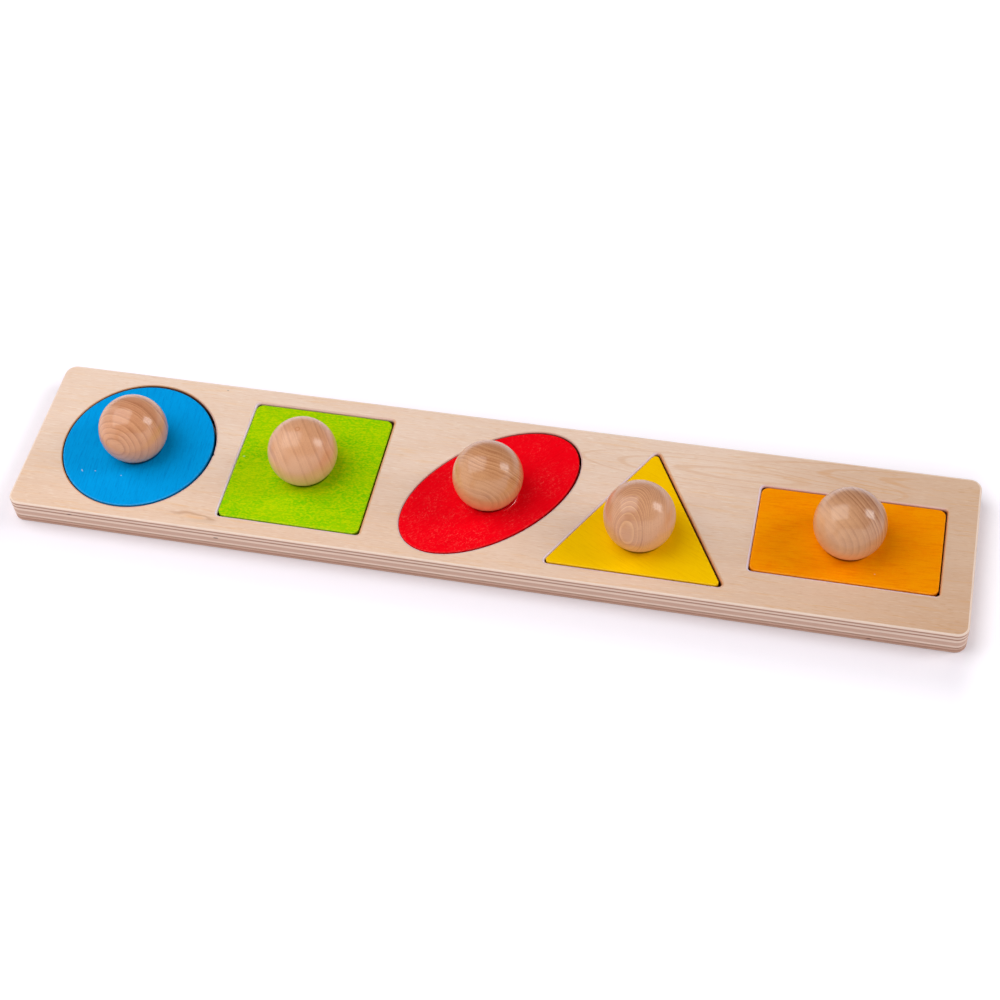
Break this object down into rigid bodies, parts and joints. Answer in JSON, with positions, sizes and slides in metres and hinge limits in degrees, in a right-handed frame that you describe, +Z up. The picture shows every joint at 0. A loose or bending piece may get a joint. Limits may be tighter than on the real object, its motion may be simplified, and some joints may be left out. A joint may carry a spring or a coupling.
{
  "type": "shape board",
  "caption": "Long plywood shape board: coloured geometric pieces lie flush in matching windows and lift straight out by wooden ball knobs.",
  "frame": {"origin": "middle of the underside of the base board, on the surface that the board lies on", "axes": "+X along the board to the right, from the circle to the rectangle; +Y from the front edge to the back edge; +Z up, the way the pieces lift"},
  "size_m": [0.4102, 0.08, 0.0384],
  "materials": {
    "birch_face": "sanded plywood, clear matt varnish",
    "base_sheet": "sanded thin plywood",
    "blue_stain": "water stain, satin",
    "green_stain": "water stain, satin",
    "red_stain": "water stain, satin",
    "yellow_stain": "water stain, satin",
    "orange_stain": "water stain, satin",
    "knob_varnish": "turned hardwood, clear gloss varnish",
    "screw_zinc": "zinc plated"
  },
  "bodies": {
    "board": {"frame_board": "birch_face", "base_board": "base_sheet"},
    "circle": {"circle_piece": "blue_stain", "circle_knob": "knob_varnish", "circle_screw": "screw_zinc"},
    "square": {"square_piece": "green_stain", "square_knob": "knob_varnish", "square_screw": "screw_zinc"},
    "oval": {"oval_piece": "red_stain", "oval_knob": "knob_varnish", "oval_screw": "screw_zinc"},
    "triangle": {"triangle_piece": "yellow_stain", "triangle_knob": "knob_varnish", "triangle_screw": "screw_zinc"},
    "rectangle": {"rectangle_piece": "orange_stain", "rectangle_knob": "knob_varnish", "rectangle_screw": "screw_zinc"}
  },
  "joints": [
    {"name": "circle_lift", "type": "slide", "parent": "board", "child": "circle", "axis": [0, 0, 1], "range_m": [0, 0.04]},
    {"name": "square_lift", "type": "slide", "parent": "board", "child": "square", "axis": [0, 0, 1], "range_m": [0, 0.04]},
    {"name": "oval_lift", "type": "slide", "parent": "board", "child": "oval", "axis": [0, 0, 1], "range_m": [0, 0.04]},
    {"name": "triangle_lift", "type": "slide", "parent": "board", "child": "triangle", "axis": [0, 0, 1], "range_m": [0, 0.04]},
    {"name": "rectangle_lift", "type": "slide", "parent": "board", "child": "rectangle", "axis": [0, 0, 1], "range_m": [0, 0.04]}
  ]
}
